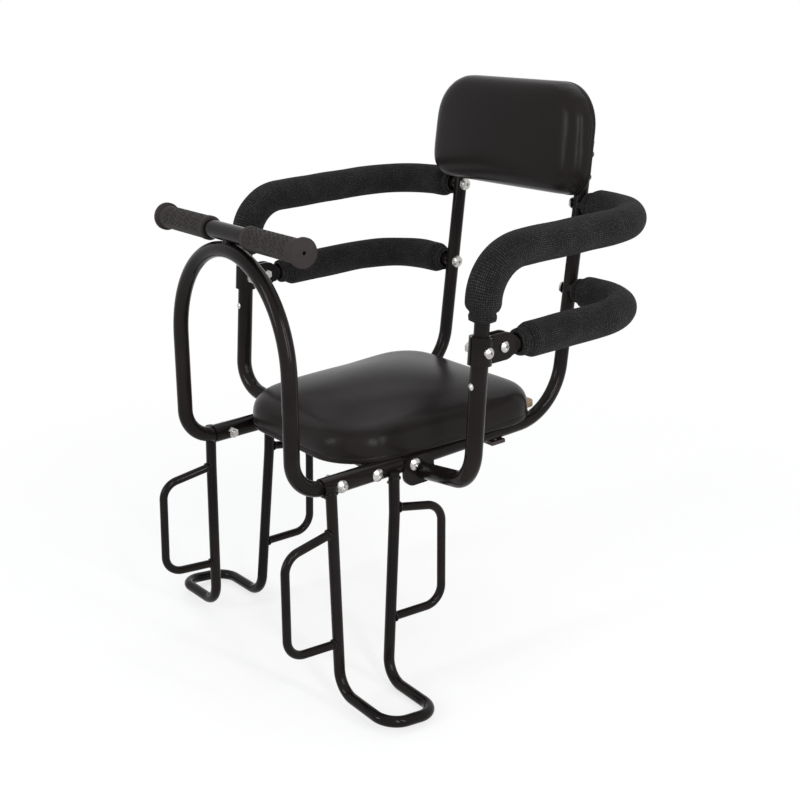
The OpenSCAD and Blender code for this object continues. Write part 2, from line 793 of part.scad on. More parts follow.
// Diameters of the countersunk heads of the strap bolts and of the seat screws
sunk_d = 11;
sunk_screw_d = 8.5;

// A hole through a strap with a countersink below
module sunk_hole(d, head) {
    translate([0, 0, -1]) cylinder(d = d + bolt_gap, h = strap_t + 2);
    translate([0, 0, -eps]) cylinder(d1 = head + bolt_gap, d2 = d + bolt_gap, h = (head - d) / 2 + eps);
}

// A countersunk head flush with a strap's lower face, and its shank
module sunk_bolt(d, head, l) {
    cylinder(d1 = head, d2 = d, h = (head - d) / 2);
    translate([0, 0, eps]) cylinder(d = d, h = l);
}

module front_strap() {
    color("dimgray") strap(0);
}

module rear_strap() {
    color("dimgray") strap(strap_pitch);
}

// Lower plates that draw the rack's tubes up against the straps
module rack_plate(y) {
    difference() {
        translate([-plate_l / 2, y - strap_w / 2, -rack_slot - strap_t]) cube([plate_l, strap_w, strap_t]);
        for (s = [-1, 1])
            translate([s * rack_bolt_x, y, -rack_slot - strap_t - 1]) cylinder(d = hole_d, h = strap_t + 2);
    }
}

module rack_plate_front() {
    color("dimgray") rack_plate(0);
}

module rack_plate_rear() {
    color("dimgray") rack_plate(strap_pitch);
}

module rack_bolts() {
    l = rack_slot + 2 * strap_t + nut_h + 2;
    color("silver") for (x = [-1, 1], y = [0, strap_pitch])
        translate([x * rack_bolt_x, y, -rack_slot - strap_t]) rotate([180, 0, 0]) {
            cylinder(d = nut_d, h = 4, $fn = 6);
            translate([0, 0, -l]) cylinder(d = bolt_d, h = l + eps);
        }
}

module rack_nuts() {
    color("silver") for (x = [-1, 1], y = [0, strap_pitch])
        translate([x * rack_bolt_x, y, strap_t]) hex_nut(nut_h);
}

// Bolts up through the straps into the rails
module strap_bolts() {
    color("silver") for (s = [-1, 1], y = [0, strap_pitch])
        translate([s * rail_at(y), y, 0]) sunk_bolt(bolt_d, sunk_d, strap_t + tube_wall + 3);
}

// A rounded trapezoid from y = 0 to y = l, with half widths w1 and w2 and its own end radii
module pad_outline(w1, w2, l, r1, r2, inset) {
    hull() for (s = [-1, 1]) {
        translate([s * (w1 - r1), r1]) circle(r1 - inset, $fn = 56);
        translate([s * (w2 - r2), l - r2]) circle(r2 - inset, $fn = 56);
    }
}

// A crowned cushion: rounded sides below, a domed top above
crown = [[0, 6], [0.05, 3], [0.14, 0.8], [0.3, 0], [0.52, 1], [0.68, 4], [0.8, 8.5], [0.9, 15], [0.97, 25], [1, 38]];
module crowned_pad(w1, w2, l, r1, r2, t) {
    hull() for (c = crown) translate([0, 0, c[0] * t])
        linear_extrude(0.01) pad_outline(w1, w2, l, r1, r2, min(c[1], min(r1, r2) - 2));
}

screw_d = 4.5;
seat_screw_x = 78;
screw_heights = [back_rise + 22, back_rise + 46];

module seat_board() {
    color("burlywood") difference() {
        translate([0, seat_y, board_z]) linear_extrude(board_t)
            pad_outline(seat_front_w, seat_rear_w, seat_l, seat_r_front, seat_r_rear, board_inset);
        seat_screw_holes(board_t + 2, screw_d);
    }
}

module seat_screw_holes(h, d) {
    for (s = [-1, 1], y = [0, strap_pitch])
        translate([s * seat_screw_x, y, board_z - 1]) cylinder(d = d, h = h);
}

module seat_cushion() {
    color("black") difference() {
        translate([0, seat_y, seat_z])
            crowned_pad(seat_front_w, seat_rear_w, seat_l, seat_r_front, seat_r_rear, board_t + seat_t);
        translate([0, seat_y, board_z - 1]) linear_extrude(board_t + 1 + soft_gap)
            pad_outline(seat_front_w, seat_rear_w, seat_l, seat_r_front, seat_r_rear, board_inset - soft_gap);
        for (s = [-1, 1]) side(s) tube(rail_p, rail_bends, rail_d + 2 * soft_gap, 0);
    }
}

module backrest_board() {
    color("burlywood") on_upright() difference() {
        translate([0, -back_plane, back_rise]) rotate([90, 0, 0]) linear_extrude(board_t)
            pad_outline(back_w, back_w - 3, back_h, back_r_low, back_r_top, board_inset);
        for (s = [-1, 1], z = screw_heights)
            translate([s * upright_x, -back_plane + 1, z]) rotate([90, 0, 0]) cylinder(d = screw_d, h = board_t + 2);
    }
}

module backrest_cushion() {
    color("black") on_upright() difference() {
        translate([0, -back_plane - soft_gap, back_rise]) rotate([90, 0, 0])
            crowned_pad(back_w, back_w - 3, back_h, back_r_low, back_r_top, board_t + back_t);
        translate([0, -back_plane + 1, back_rise]) rotate([90, 0, 0]) linear_extrude(board_t + 1 + soft_gap)
            pad_outline(back_w, back_w - 3, back_h, back_r_low, back_r_top, board_inset - soft_gap);
    }
}

// Screws of the two boards: up through the straps and forwards through the uprights
module board_screws() {
    color("silver") {
        for (s = [-1, 1], y = [0, strap_pitch])
            translate([s * seat_screw_x, y, 0]) sunk_bolt(screw_d, sunk_screw_d, board_z + board_t - 1);
        on_upright() for (s = [-1, 1], z = screw_heights) translate([s * upright_x, rail_r, z]) rotate([90, 0, 0]) {
            translate([0, 0, -2.4]) cylinder(d1 = 6, d2 = 9, h = 2.4);
            translate([0, 0, -eps]) cylinder(d = screw_d, h = rail_d + board_t - 1);
        }
    }
}

front_hoop();
handlebar_tube();
grip(1);  // grip_left
grip(-1);  // grip_right
leg_sleeve(1);  // leg_sleeve_left
leg_sleeve(-1);  // leg_sleeve_right
leg_loop(1);  // leg_loop_left
leg_loop(-1);  // leg_loop_right
front_guard(1);  // front_guard_left
front_guard(-1);  // front_guard_right
rear_guard(1);  // rear_guard_left
rear_guard(-1);  // rear_guard_right
seat_rail(1);  // seat_rail_left
seat_rail(-1);  // seat_rail_right
upright_caps();
arm_post(1);  // arm_post_left
arm_post(-1);  // arm_post_right
post_bracket(1);  // post_bracket_left
post_bracket(-1);  // post_bracket_right
armrest_tube(1);  // armrest_tube_left
armrest_tube(-1);  // armrest_tube_right
armrest_foam(1);  // armrest_foam_left
armrest_foam(-1);  // armrest_foam_right
side_bar(1);  // side_bar_left
side_bar(-1);  // side_bar_right
side_bar_foam(1);  // side_bar_foam_left
side_bar_foam(-1);  // side_bar_foam_right
clamp_plates(1);  // clamp_plates_left
clamp_plates(-1);  // clamp_plates_right
end_plugs();
post_rivets();
front_strap();
rear_strap();
rack_plate_front();
rack_plate_rear();
rack_bolts();
rack_nuts();
strap_bolts();
seat_board();
seat_cushion();
backrest_board();
backrest_cushion();
board_screws();
sleeve_bolts();
sleeve_nuts();
bracket_bolts();
bracket_nuts();
clamp_bolts();
clamp_nuts();
upright_bolts();
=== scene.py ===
"""Looks of the rear child bike seat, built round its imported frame.

The seat's own frame has +X to the child's left, -Y forwards and +Z up, with
the origin under the middle of the front strap. Shapes are drawn in
millimetres and scaled to metres as they become pieces.
"""

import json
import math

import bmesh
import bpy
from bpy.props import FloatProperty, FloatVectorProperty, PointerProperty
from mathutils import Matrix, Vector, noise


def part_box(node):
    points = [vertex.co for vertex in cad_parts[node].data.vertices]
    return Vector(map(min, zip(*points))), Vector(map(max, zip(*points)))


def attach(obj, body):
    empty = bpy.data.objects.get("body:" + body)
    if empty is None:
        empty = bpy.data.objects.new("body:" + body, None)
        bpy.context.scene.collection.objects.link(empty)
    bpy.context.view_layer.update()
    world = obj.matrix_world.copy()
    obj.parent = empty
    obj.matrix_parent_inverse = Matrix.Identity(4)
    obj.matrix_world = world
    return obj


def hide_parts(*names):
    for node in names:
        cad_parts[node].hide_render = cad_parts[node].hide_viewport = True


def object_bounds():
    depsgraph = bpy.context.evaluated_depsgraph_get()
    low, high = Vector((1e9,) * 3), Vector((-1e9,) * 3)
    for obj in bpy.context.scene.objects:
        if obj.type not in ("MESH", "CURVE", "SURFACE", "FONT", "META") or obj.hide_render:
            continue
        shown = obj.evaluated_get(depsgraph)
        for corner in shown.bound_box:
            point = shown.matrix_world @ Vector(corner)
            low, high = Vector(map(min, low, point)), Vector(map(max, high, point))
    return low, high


bl_info = {
    "name": "Rear Child Bike Seat",
    "version": (1, 0, 0),
    "blender": (4, 5, 0),
    "location": "View3D > Sidebar > Bike Seat",
    "description": "Builds the cushions, knitted sleeves, grips and finishes of a rear child bike seat",
    "category": "Object",
}

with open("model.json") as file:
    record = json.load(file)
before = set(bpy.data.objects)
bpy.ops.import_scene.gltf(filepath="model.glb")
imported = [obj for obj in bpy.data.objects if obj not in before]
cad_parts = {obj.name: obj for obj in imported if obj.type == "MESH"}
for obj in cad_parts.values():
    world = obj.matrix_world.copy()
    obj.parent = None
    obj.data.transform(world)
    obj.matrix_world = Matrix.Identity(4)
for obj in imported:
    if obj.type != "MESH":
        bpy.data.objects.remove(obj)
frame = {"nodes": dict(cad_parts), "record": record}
CAD_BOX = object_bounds()
MM = 0.001

# Places and sizes of the frame's own parts, in millimetres and radians
BOLT_Y = -92.0
RAIL_Z = 11.5
RAIL_R = 7.5
UPRIGHT_X = 101.0
UPRIGHT_FOOT = 205.0
UPRIGHT_LEAN = math.radians(10.0)
POST_X = 214.0
POST_BACK = 83.5
POST_LEAN = math.radians(6.8)
ARM_H = 226.5
BAR_H = 136.0
CLAMP_H = 137.5
ARM_D = 15.0
LEG_LEAN = math.radians(3.8)
LEG_X = 119.4
LEG_FRONT = -14.5
LEG_PITCH = 76.0
HANDLE_D = 18.0

# Points closer than this are one, in millimetres
MERGE = 0.01


def post_axis(h):
    """Point on the left arm post's axis at a height above the rails."""
    return Vector((POST_X, BOLT_Y + POST_BACK + h * math.tan(POST_LEAN), RAIL_Z + h))


def upright_y(z):
    """Distance back of the uprights' axis at a height."""
    return UPRIGHT_FOOT + (z - RAIL_Z) * math.tan(UPRIGHT_LEAN)


def new_piece(name, bm, material, body="root", smooth=True):
    """Turns a bmesh in millimetres into an object that rides on a body."""
    bmesh.ops.scale(bm, vec=(MM, MM, MM), verts=bm.verts)
    mesh = bpy.data.meshes.new(name)
    bm.to_mesh(mesh)
    bm.free()
    if smooth:
        mesh.shade_smooth()
    piece = bpy.data.objects.new(name, mesh)
    bpy.context.scene.collection.objects.link(piece)
    mesh.materials.append(material)
    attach(piece, body)
    return piece


def nodes_of(material):
    """The nodes and links of a material."""
    tree = material.node_tree
    return tree.nodes, tree.links


def new_material(name):
    """A new material and its Principled shader."""
    material = bpy.data.materials.new(name)
    material.use_nodes = True
    shader = material.node_tree.nodes["Principled BSDF"]
    return material, shader


def group_node(material, group, **values):
    """Places a shader node group in a material and sets its inputs."""
    nodes, _ = nodes_of(material)
    node = nodes.new("ShaderNodeGroup")
    node.node_tree = group
    for key, value in values.items():
        node.inputs[key.replace("_", " ").title()].default_value = value
    return node


def new_group(name, inputs, outputs):
    """An empty shader node group with named sockets."""
    group = bpy.data.node_groups.new(name, "ShaderNodeTree")
    for label, kind, value in inputs:
        socket = group.interface.new_socket(name=label, in_out="INPUT", socket_type=kind)
        socket.default_value = value
    for label, kind in outputs:
        group.interface.new_socket(name=label, in_out="OUTPUT", socket_type=kind)
    return group, group.nodes.new("NodeGroupInput"), group.nodes.new("NodeGroupOutput")


def math_node(nodes, links, operation, *values):
    """A Math node fed by sockets or numbers; returns its output."""
    node = nodes.new("ShaderNodeMath")
    node.operation = operation
    for index, value in enumerate(values):
        if isinstance(value, (int, float)):
            node.inputs[index].default_value = value
        else:
            links.new(value, node.inputs[index])
    return node.outputs[0]


def noise_node(nodes, links, where, scale, detail=2.0):
    """A Noise texture whose scale is a number or a socket; returns its output."""
    node = nodes.new("ShaderNodeTexNoise")
    node.inputs["Detail"].default_value = detail
    links.new(where, node.inputs["Vector"])
    if isinstance(scale, (int, float)):
        node.inputs["Scale"].default_value = scale
    else:
        links.new(scale, node.inputs["Scale"])
    return node.outputs["Fac"]


def stretched(nodes, links, value, low, high):
    """Maps low to high onto 0 to 1; returns the output."""
    node = nodes.new("ShaderNodeMapRange")
    node.inputs["From Min"].default_value = low
    node.inputs["From Max"].default_value = high
    links.new(value, node.inputs["Value"])
    return node.outputs["Result"]


def mixed(nodes, links, factor, first, second):
    """Mixes two colours; returns the output."""
    mix = nodes.new("ShaderNodeMix")
    mix.data_type = "RGBA"
    links.new(factor, mix.inputs["Factor"])
    links.new(first, mix.inputs["A"])
    links.new(second, mix.inputs["B"])
    return mix.outputs["Result"]


def add_relief(material, shader, height, strength, distance):
    """Bumps a shader's normal by a height."""
    nodes, links = nodes_of(material)
    relief = nodes.new("ShaderNodeBump")
    relief.inputs["Strength"].default_value = strength
    relief.inputs["Distance"].default_value = distance
    links.new(height, relief.inputs["Height"])
    links.new(relief.outputs["Normal"], shader.inputs["Normal"])


def grain_group():
    """Uneven colour and a fine surface height, for paint, leather and rubber."""
    group, inp, out = new_group(
        "surface_grain",
        [
            ("Base", "NodeSocketColor", (0.02, 0.02, 0.02, 1)),
            ("Worn", "NodeSocketColor", (0.05, 0.05, 0.05, 1)),
            ("Patch Scale", "NodeSocketFloat", 12.0),
            ("Grain Scale", "NodeSocketFloat", 900.0),
            ("Rough Low", "NodeSocketFloat", 0.2),
            ("Rough High", "NodeSocketFloat", 0.4),
        ],
        [("Color", "NodeSocketColor"), ("Roughness", "NodeSocketFloat"), ("Height", "NodeSocketFloat")],
    )
    nodes, links = group.nodes, group.links
    where = nodes.new("ShaderNodeTexCoord").outputs["Object"]
    patch = noise_node(nodes, links, where, inp.outputs["Patch Scale"], 3)
    spread = stretched(nodes, links, patch, 0.35, 0.75)
    colour = mixed(nodes, links, spread, inp.outputs["Base"], inp.outputs["Worn"])
    links.new(colour, out.inputs["Color"])
    rough = nodes.new("ShaderNodeMapRange")
    links.new(patch, rough.inputs["Value"])
    links.new(inp.outputs["Rough Low"], rough.inputs["To Min"])
    links.new(inp.outputs["Rough High"], rough.inputs["To Max"])
    links.new(rough.outputs["Result"], out.inputs["Roughness"])
    cells = nodes.new("ShaderNodeTexVoronoi")
    cells.feature = "SMOOTH_F1"
    cells.inputs["Smoothness"].default_value = 0.6
    links.new(where, cells.inputs["Vector"])
    links.new(inp.outputs["Grain Scale"], cells.inputs["Scale"])
    fine = noise_node(nodes, links, where, inp.outputs["Grain Scale"])
    links.new(math_node(nodes, links, "ADD", cells.outputs["Distance"], fine), out.inputs["Height"])
    return group


def knit_group():
    """Diagonal knit of a stretched sleeve, on a UV map in metres, with painted glints on its raised stitches
    and painted shade between them.
    """
    wander = 0.0022
    group, inp, out = new_group(
        "sleeve_knit",
        [
            ("Pitch", "NodeSocketFloat", 0.0026),
            ("Yarn", "NodeSocketColor", (0.02, 0.02, 0.02, 1)),
            # The lighter colour is the painted glint of the raised stitches
            ("Light Yarn", "NodeSocketColor", (0.1, 0.1, 0.1, 1)),
        ],
        [("Color", "NodeSocketColor"), ("Height", "NodeSocketFloat")],
    )
    nodes, links = group.nodes, group.links
    knit_map = nodes.new("ShaderNodeUVMap")
    knit_map.uv_map = "knit"
    where = knit_map.outputs["UV"]
    wobble = noise_node(nodes, links, where, 60, 1)
    split = nodes.new("ShaderNodeSeparateXYZ")
    links.new(where, split.inputs[0])
    shift = math_node(nodes, links, "MULTIPLY", wobble, wander)
    around = math_node(nodes, links, "ADD", split.outputs["X"], shift)
    along = math_node(nodes, links, "ADD", split.outputs["Y"], shift)
    waves = []
    for sign in ("ADD", "SUBTRACT"):
        slant = math_node(nodes, links, sign, around, along)
        turns = math_node(nodes, links, "DIVIDE", slant, inp.outputs["Pitch"])
        angle = math_node(nodes, links, "MULTIPLY", turns, math.tau)
        waves.append(math_node(nodes, links, "SINE", angle))
    height = math_node(nodes, links, "MULTIPLY", *waves)
    height = math_node(nodes, links, "MULTIPLY_ADD", height, 0.5, 0.5)
    links.new(height, out.inputs["Height"])
    # Painted glints and shade: specks are lighter where the stitches stand high and darker between them, with
    # random mottling from the patch noise on top
    glint_speck = noise_node(nodes, links, where, 420)
    patch = noise_node(nodes, links, where, 45)
    bright = math_node(nodes, links, "MULTIPLY", height, glint_speck)
    bright = math_node(nodes, links, "SUBTRACT", bright, 0.2)
    bright = math_node(nodes, links, "MULTIPLY_ADD", patch, 0.4, bright)
    lift = stretched(nodes, links, bright, 0.25, 0.66)
    colour = mixed(nodes, links, lift, inp.outputs["Yarn"], inp.outputs["Light Yarn"])
    links.new(colour, out.inputs["Color"])
    return group


GROUPS = {}


def shared_group(build):
    """The shader node group of that kind, built on first use."""
    if build not in GROUPS:
        GROUPS[build] = build()
    return GROUPS[build]


def tinted(colour, factor):
    """A colour with each channel times a factor."""
    return tuple(channel * factor for channel in colour)


def grained(name, base, worn, patch, grain, rough, bump, level=0.5):
    """A material whose colour, roughness and bump come from the shared grain group.

    Patch and grain are texture scales, rough is a range, bump is a strength and
    a distance, and level is that of the gloss.
    """
    material, shader = new_material(name)
    _, links = nodes_of(material)
    node = group_node(
        material,
        shared_group(grain_group),
        base=(*base, 1),
        worn=(*worn, 1),
        patch_scale=patch,
        grain_scale=grain,
        rough_low=rough[0],
        rough_high=rough[1],
    )
    links.new(node.outputs["Color"], shader.inputs["Base Color"])
    links.new(node.outputs["Roughness"], shader.inputs["Roughness"])
    add_relief(material, shader, node.outputs["Height"], *bump)
    shader.inputs["Specular IOR Level"].default_value = level
    return material


def black_enamel(seat):
    """Gloss stove enamel of the tubes."""
    return grained(
        "gloss_black_enamel", seat.paint, tinted(seat.paint, 2.2),
        patch=14, grain=260, rough=(0.12, 0.22), bump=(0.035, 0.0004), level=0.1,
    )


def strap_paint(seat):
    """Thin satin paint of the straps and plates, with a hint of rust."""
    red, green, blue = seat.paint
    return grained(
        "satin_strap_paint", tinted(seat.paint, 1.5), (red * 5, green * 3, blue * 2.4),
        patch=30, grain=500, rough=(0.35, 0.6), bump=(0.15, 0.0006),
    )


def imitation_leather(seat):
    """Smooth black cover of the cushions."""
    return grained(
        "black_imitation_leather", seat.leather, tinted(seat.leather, 1.3),
        patch=7, grain=1100, rough=(0.21, 0.29), bump=(0.1, 0.0003), level=0.06,
    )


def grip_rubber(seat):
    """Matt rubber of the handlebar's grips."""
    return grained(
        "matt_grip_rubber", seat.rubber, tinted(seat.rubber, 1.45),
        patch=45, grain=900, rough=(0.55, 0.75), bump=(0.25, 0.0005), level=0.12,
    )


def cap_plastic(seat):
    """Black plastic of the caps in the uprights."""
    return grained(
        "black_cap_plastic", (0.012, 0.012, 0.012), (0.02, 0.02, 0.02),
        patch=30, grain=900, rough=(0.35, 0.5), bump=(0.08, 0.0003),
    )


def bright_zinc(seat):
    """Zinc of the bolts, nuts and rivets."""
    material = grained(
        "bright_zinc", seat.zinc, tinted(seat.zinc, 0.6),
        patch=160, grain=1500, rough=(0.2, 0.4), bump=(0.05, 0.0003),
    )
    material.node_tree.nodes["Principled BSDF"].inputs["Metallic"].default_value = 1.0
    return material


def plywood(seat):
    """Bare plywood with long grain on its faces."""
    material, shader = new_material("bare_plywood")
    nodes, links = nodes_of(material)
    where = nodes.new("ShaderNodeTexCoord")
    stretch = nodes.new("ShaderNodeMapping")
    stretch.inputs["Scale"].default_value = (90, 6, 900)
    links.new(where.outputs["Object"], stretch.inputs["Vector"])
    fibre = noise_node(nodes, links, stretch.outputs["Vector"], 1.0, 5)
    ramp = nodes.new("ShaderNodeValToRGB")
    dark, light = ramp.color_ramp.elements
    dark.position, light.position = 0.3, 0.75
    dark.color, light.color = (0.22, 0.13, 0.07, 1), (0.5, 0.36, 0.22, 1)
    links.new(fibre, ramp.inputs["Fac"])
    links.new(ramp.outputs["Color"], shader.inputs["Base Color"])
    add_relief(material, shader, fibre, 0.2, 0.0004)
    shader.inputs["Roughness"].default_value = 0.7
    return material


def knitted_sleeve(seat):
    """Stretched knit over the foam tubes."""
    material, shader = new_material("black_knitted_sleeve")
    _, links = nodes_of(material)
    node = group_node(
        material,
        shared_group(knit_group),
        pitch=seat.knit_pitch,
        yarn=(*seat.yarn, 1),
        # Six times the yarn colour gives the painted glints on the raised stitches
        light_yarn=(*tinted(seat.yarn, 6), 1),
    )
    links.new(node.outputs["Color"], shader.inputs["Base Color"])
    add_relief(material, shader, node.outputs["Height"], 0.8, 0.0009)
    shader.inputs["Roughness"].default_value = 0.85
    shader.inputs["Specular IOR Level"].default_value = 0.06
    shader.inputs["Sheen Weight"].default_value = 0.03
    shader.inputs["Sheen Roughness"].default_value = 0.5
    return material


MATERIALS = {}
RECIPES = {
    "enamel": black_enamel,
    "strap": strap_paint,
    "leather": imitation_leather,
    "rubber": grip_rubber,
    "cap": cap_plastic,
    "zinc": bright_zinc,
    "plywood": plywood,
    "knit": knitted_sleeve,
}


def finish_of(name):
    """The material of that finish, built on first use."""
    if name not in MATERIALS:
        MATERIALS[name] = RECIPES[name](bpy.context.scene.bike_seat)
    return MATERIALS[name]


def spun(bm, centre, axis, steps):
    """Spins all of a bmesh a full turn about an axis and closes it."""
    bmesh.ops.spin(
        bm, geom=bm.verts[:] + bm.edges[:], cent=centre, axis=axis, dvec=(0, 0, 0),
        angle=math.tau, steps=steps, use_merge=True, use_duplicate=False,
    )
    bmesh.ops.remove_doubles(bm, verts=bm.verts, dist=MERGE)
    bmesh.ops.recalc_face_normals(bm, faces=bm.faces)


def turned(profile, steps, start, axis):
    """A closed turned body: the profile's (along, radius) points spun about an axis from start."""
    bm = bmesh.new()
    side = axis.orthogonal().normalized()
    points = [bm.verts.new(start + axis * along + side * radius) for along, radius in profile]
    for one, two in zip(points, points[1:]):
        bm.edges.new((one, two))
    spun(bm, start, axis, steps)
    return bm


def route(corners, radii, step):
    """Moves along a bent line, each about a step long.

    Each has a length. A slide has a vector, and a turn has a centre, an axis,
    an angle and the share of its bend that is behind it.
    """
    moves = []
    outer = 9
    at = corners[0]
    for i in range(1, len(corners)):
        end = to = corners[i]
        out = (to - at).normalized()
        bends = i < len(corners) - 1
        if bends:
            after = (corners[i + 1] - to).normalized()
            angle = out.angle(after)
            cut = radii[i] * math.tan(angle / 2)
            end = to - out * cut
        run = (end - at).length
        count = max(1, round(run / step))
        moves += [{"length": run / count, "slide": out * (run / count)}] * count
        if bends:
            axis = out.cross(after).normalized()
            centre = end + axis.cross(out).normalized() * radii[i]
            count = max(2, round(angle * (radii[i] + outer) / step))
            for k in range(count):
                moves.append({
                    "length": radii[i] * angle / count, "slide": None, "centre": centre,
                    "axis": axis, "angle": angle / count, "share": (k + 1) / count,
                })
            at = to + after * cut
    return moves


def swept_sleeve(corners, radii, radius_at, sides=52, step=1.7):
    """A skin swept along a bent line, with a radius that changes along it and UVs in metres.

    Its points keep how far along and round it they lie, and how deep inside a bend.
    """
    moves = route(corners, radii, step)
    total = sum(move["length"] for move in moves)
    bm = bmesh.new()
    along_layer = bm.verts.layers.float.new("along")
    round_layer = bm.verts.layers.float.new("round")
    inner_layer = bm.verts.layers.float.new("inner")
    bend_layer = bm.verts.layers.float.new("bend")
    out = (corners[1] - corners[0]).normalized()
    side = out.orthogonal().normalized()
    first = Matrix.Translation(corners[0]) @ Matrix((side, out.cross(side), out)).transposed().to_4x4()
    ring = bmesh.ops.create_circle(
        bm, cap_ends=False, segments=sides, radius=radius_at(0, total), matrix=first,
    )["verts"]
    for i, vert in enumerate(ring):
        vert[round_layer] = i / sides
    centre, s = corners[0].copy(), 0.0
    edges = bm.edges[:]
    for move in moves:
        made = bmesh.ops.extrude_edge_only(bm, edges=edges)["geom"]
        verts = [g for g in made if isinstance(g, bmesh.types.BMVert)]
        ends = set(verts)
        edges = [g for g in made if isinstance(g, bmesh.types.BMEdge) and ends.issuperset(g.verts)]
        before = radius_at(s, total)
        if move["slide"]:
            bmesh.ops.translate(bm, verts=verts, vec=move["slide"])
            centre = centre + move["slide"]
        else:
            turn = Matrix.Rotation(move["angle"], 3, move["axis"])
            bmesh.ops.rotate(bm, verts=verts, cent=move["centre"], matrix=turn)
            centre = move["centre"] + turn @ (centre - move["centre"])
        s += move["length"]
        k = radius_at(s, total) / before
        bmesh.ops.scale(bm, vec=(k, k, k), verts=verts, space=Matrix.Translation(-centre))
        for vert in verts:
            vert[along_layer] = s
            vert[inner_layer] = vert[bend_layer] = 0.0
            if not move["slide"]:
                inwards = (move["centre"] - centre).normalized()
                vert[inner_layer] = max(0.0, (vert.co - centre).normalized().dot(inwards))
                vert[bend_layer] = move["share"]
    bm.normal_update()
    lay_knit_map(bm, math.tau * radius_at(total / 2, total))
    return bm, total


def lay_knit_map(bm, girth):
    """UVs in metres, round a sleeve and along it."""
    along_layer = bm.verts.layers.float["along"]
    round_layer = bm.verts.layers.float["round"]
    uv = bm.loops.layers.uv.new("knit")
    for face in bm.faces:
        turns = [loop.vert[round_layer] for loop in face.loops]
        wraps = max(turns) - min(turns) > 0.5
        for loop, turn in zip(face.loops, turns):
            if wraps and turn < 0.25:
                turn += 1
            loop[uv].uv = (turn * girth * MM, loop.vert[along_layer] * MM)


class BikeSeatSettings(bpy.types.PropertyGroup):
    """Sizes and colours of the seat's soft pieces and finishes."""

    paint: FloatVectorProperty(
        name="Enamel", description="Colour of the stove enamel on the tubes",
        subtype="COLOR", default=(0.0056, 0.0042, 0.004), min=0, max=1,
    )
    leather: FloatVectorProperty(
        name="Leather", description="Colour of the imitation leather",
        subtype="COLOR", default=(0.0122, 0.0099, 0.0098), min=0, max=1,
    )
    yarn: FloatVectorProperty(
        name="Yarn", description="Colour of the knitted sleeves",
        subtype="COLOR", default=(0.0085, 0.0083, 0.0083), min=0, max=1,
    )
    rubber: FloatVectorProperty(
        name="Rubber", description="Colour of the grips",
        subtype="COLOR", default=(0.024, 0.0205, 0.0195), min=0, max=1,
    )
    zinc: FloatVectorProperty(
        name="Zinc", description="Colour of the bolts and nuts",
        subtype="COLOR", default=(0.6, 0.585, 0.565), min=0, max=1,
    )
    knit_pitch: FloatProperty(
        name="Knit pitch", description="Distance between two rows of the knit",
        subtype="DISTANCE", unit="LENGTH", default=0.0042, min=0.001, max=0.01,
    )
    sleeve_radius: FloatProperty(
        name="Sleeve radius", description="Radius of the foam sleeves",
        subtype="DISTANCE", unit="LENGTH", default=0.018, min=0.012, max=0.025,
    )
    cuff_radius: FloatProperty(
        name="Cuff radius", description="Radius of the gathered cuffs",
        subtype="DISTANCE", unit="LENGTH", default=0.0132, min=0.009, max=0.02,
    )
    seat_crown: FloatProperty(
        name="Crown", description="Height by which the cushions' middle stands over their rim",
        subtype="DISTANCE", unit="LENGTH", default=0.006, min=0.0, max=0.02,
    )
    swell: FloatProperty(
        name="Swell", description="Most that the cushions' cover moves as it fills",
        subtype="DISTANCE", unit="LENGTH", default=0.005, min=0.0, max=0.016,
    )


class BIKESEAT_OT_frame_finish(bpy.types.Operator):
    """Paints the tubes, straps, boards and bolts"""

    bl_idname = "bike_seat.frame_finish"
    bl_label = "Finish the Frame"

    slots = {
        "gloss_black_paint": "enamel",
        "black_paint": "strap",
        "bright_zinc": "zinc",
        "grip_rubber": "rubber",
        "black_plastic": "cap",
        "knit_foam": "knit",
        "imitation_leather": "leather",
        "plywood": "plywood",
    }

    def execute(self, context):
        for row in frame["record"]["subparts"]:
            node = frame["nodes"][row["node"]]
            node.data.materials.clear()
            node.data.materials.append(finish_of(self.slots[row["material_slot"]]))
        return {"FINISHED"}


